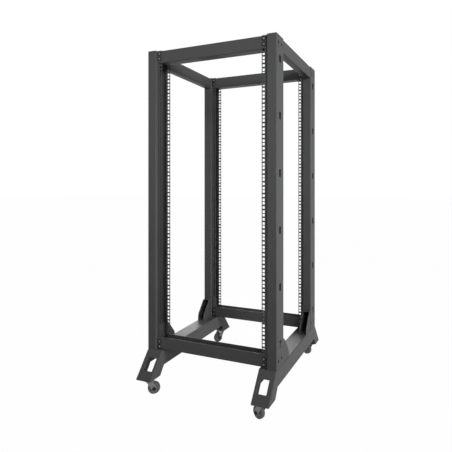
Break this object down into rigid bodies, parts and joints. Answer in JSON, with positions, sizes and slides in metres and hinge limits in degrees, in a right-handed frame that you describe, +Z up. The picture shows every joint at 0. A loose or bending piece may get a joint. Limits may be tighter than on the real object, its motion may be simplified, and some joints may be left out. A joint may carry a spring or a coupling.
{
  "type": "four post open frame rack",
  "caption": "Open frame rack with stepped channel posts, square hole rails, channel beams, splayed side feet and swivel casters",
  "frame": {"origin": "on the floor under the middle of the rack", "axes": "+X to the right seen from the front, +Y to the rear, +Z up"},
  "size_m": [0.576, 0.71, 1.416],
  "materials": {
    "post_front_left": "fine textured charcoal powder coat",
    "post_socket_front_left": "fine textured charcoal powder coat",
    "foot_plate_front_left": "fine textured charcoal powder coat",
    "caster_plate_front_left": "zinc plated steel",
    "post_front_right": "fine textured charcoal powder coat",
    "post_socket_front_right": "fine textured charcoal powder coat",
    "foot_plate_front_right": "fine textured charcoal powder coat",
    "caster_plate_front_right": "zinc plated steel",
    "post_rear_left": "fine textured charcoal powder coat",
    "post_socket_rear_left": "fine textured charcoal powder coat",
    "foot_plate_rear_left": "fine textured charcoal powder coat",
    "caster_plate_rear_left": "zinc plated steel",
    "post_rear_right": "fine textured charcoal powder coat",
    "post_socket_rear_right": "fine textured charcoal powder coat",
    "foot_plate_rear_right": "fine textured charcoal powder coat",
    "caster_plate_rear_right": "zinc plated steel",
    "top_beam_front": "fine textured charcoal powder coat",
    "top_beam_rear": "fine textured charcoal powder coat",
    "top_beam_left": "fine textured charcoal powder coat",
    "top_beam_right": "fine textured charcoal powder coat",
    "bottom_beam_front": "fine textured charcoal powder coat",
    "bottom_beam_rear": "fine textured charcoal powder coat",
    "base_rail_left": "fine textured charcoal powder coat",
    "base_rail_right": "fine textured charcoal powder coat",
    "caster_fork_front_left": "zinc plated steel",
    "caster_axle_front_left": "zinc plated steel",
    "caster_hub_front_left": "matt grey nylon",
    "caster_tyre_front_left": "matt black rubber",
    "caster_fork_front_right": "zinc plated steel",
    "caster_axle_front_right": "zinc plated steel",
    "caster_hub_front_right": "matt grey nylon",
    "caster_tyre_front_right": "matt black rubber",
    "caster_fork_rear_left": "zinc plated steel",
    "caster_axle_rear_left": "zinc plated steel",
    "caster_hub_rear_left": "matt grey nylon",
    "caster_tyre_rear_left": "matt black rubber",
    "caster_fork_rear_right": "zinc plated steel",
    "caster_axle_rear_right": "zinc plated steel",
    "caster_hub_rear_right": "matt grey nylon",
    "caster_tyre_rear_right": "matt black rubber"
  },
  "bodies": {
    "frame": {"post_front_left": "post_front_left", "post_socket_front_left": "post_socket_front_left", "foot_plate_front_left": "foot_plate_front_left", "caster_plate_front_left": "caster_plate_front_left", "post_front_right": "post_front_right", "post_socket_front_right": "post_socket_front_right", "foot_plate_front_right": "foot_plate_front_right", "caster_plate_front_right": "caster_plate_front_right", "post_rear_left": "post_rear_left", "post_socket_rear_left": "post_socket_rear_left", "foot_plate_rear_left": "foot_plate_rear_left", "caster_plate_rear_left": "caster_plate_rear_left", "post_rear_right": "post_rear_right", "post_socket_rear_right": "post_socket_rear_right", "foot_plate_rear_right": "foot_plate_rear_right", "caster_plate_rear_right": "caster_plate_rear_right", "top_beam_front": "top_beam_front", "top_beam_rear": "top_beam_rear", "top_beam_left": "top_beam_left", "top_beam_right": "top_beam_right", "bottom_beam_front": "bottom_beam_front", "bottom_beam_rear": "bottom_beam_rear", "base_rail_left": "base_rail_left", "base_rail_right": "base_rail_right"},
    "caster_front_left": {"caster_fork_front_left": "caster_fork_front_left", "caster_axle_front_left": "caster_axle_front_left"},
    "wheel_front_left": {"caster_hub_front_left": "caster_hub_front_left", "caster_tyre_front_left": "caster_tyre_front_left"},
    "caster_front_right": {"caster_fork_front_right": "caster_fork_front_right", "caster_axle_front_right": "caster_axle_front_right"},
    "wheel_front_right": {"caster_hub_front_right": "caster_hub_front_right", "caster_tyre_front_right": "caster_tyre_front_right"},
    "caster_rear_left": {"caster_fork_rear_left": "caster_fork_rear_left", "caster_axle_rear_left": "caster_axle_rear_left"},
    "wheel_rear_left": {"caster_hub_rear_left": "caster_hub_rear_left", "caster_tyre_rear_left": "caster_tyre_rear_left"},
    "caster_rear_right": {"caster_fork_rear_right": "caster_fork_rear_right", "caster_axle_rear_right": "caster_axle_rear_right"},
    "wheel_rear_right": {"caster_hub_rear_right": "caster_hub_rear_right", "caster_tyre_rear_right": "caster_tyre_rear_right"}
  },
  "joints": [
    {"name": "swivel_front_left", "type": "hinge", "parent": "frame", "child": "caster_front_left", "pos_m": [-0.2525, -0.318, 0.0578], "axis": [0, 0, 1], "continuous": true},
    {"name": "roll_front_left", "type": "hinge", "parent": "caster_front_left", "child": "wheel_front_left", "pos_m": [-0.23516, -0.30446, 0.025], "axis": [-0.6157, 0.788, 0], "continuous": true},
    {"name": "swivel_front_right", "type": "hinge", "parent": "frame", "child": "caster_front_right", "pos_m": [0.2525, -0.318, 0.0578], "axis": [0, 0, 1], "continuous": true},
    {"name": "roll_front_right", "type": "hinge", "parent": "caster_front_right", "child": "wheel_front_right", "pos_m": [0.2324, -0.30905, 0.025], "axis": [-0.4067, -0.9135, 0], "continuous": true},
    {"name": "swivel_rear_left", "type": "hinge", "parent": "frame", "child": "caster_rear_left", "pos_m": [-0.2525, 0.318, 0.0578], "axis": [0, 0, 1], "continuous": true},
    {"name": "roll_rear_left", "type": "hinge", "parent": "caster_rear_left", "child": "wheel_rear_left", "pos_m": [-0.26074, 0.2976, 0.025], "axis": [0.9272, -0.3746, 0], "continuous": true},
    {"name": "swivel_rear_right", "type": "hinge", "parent": "frame", "child": "caster_rear_right", "pos_m": [0.2525, 0.318, 0.0578], "axis": [0, 0, 1], "continuous": true},
    {"name": "roll_rear_right", "type": "hinge", "parent": "caster_rear_right", "child": "wheel_rear_right", "pos_m": [0.2324, 0.32695, 0.025], "axis": [-0.4067, -0.9135, 0], "continuous": true}
  ]
}
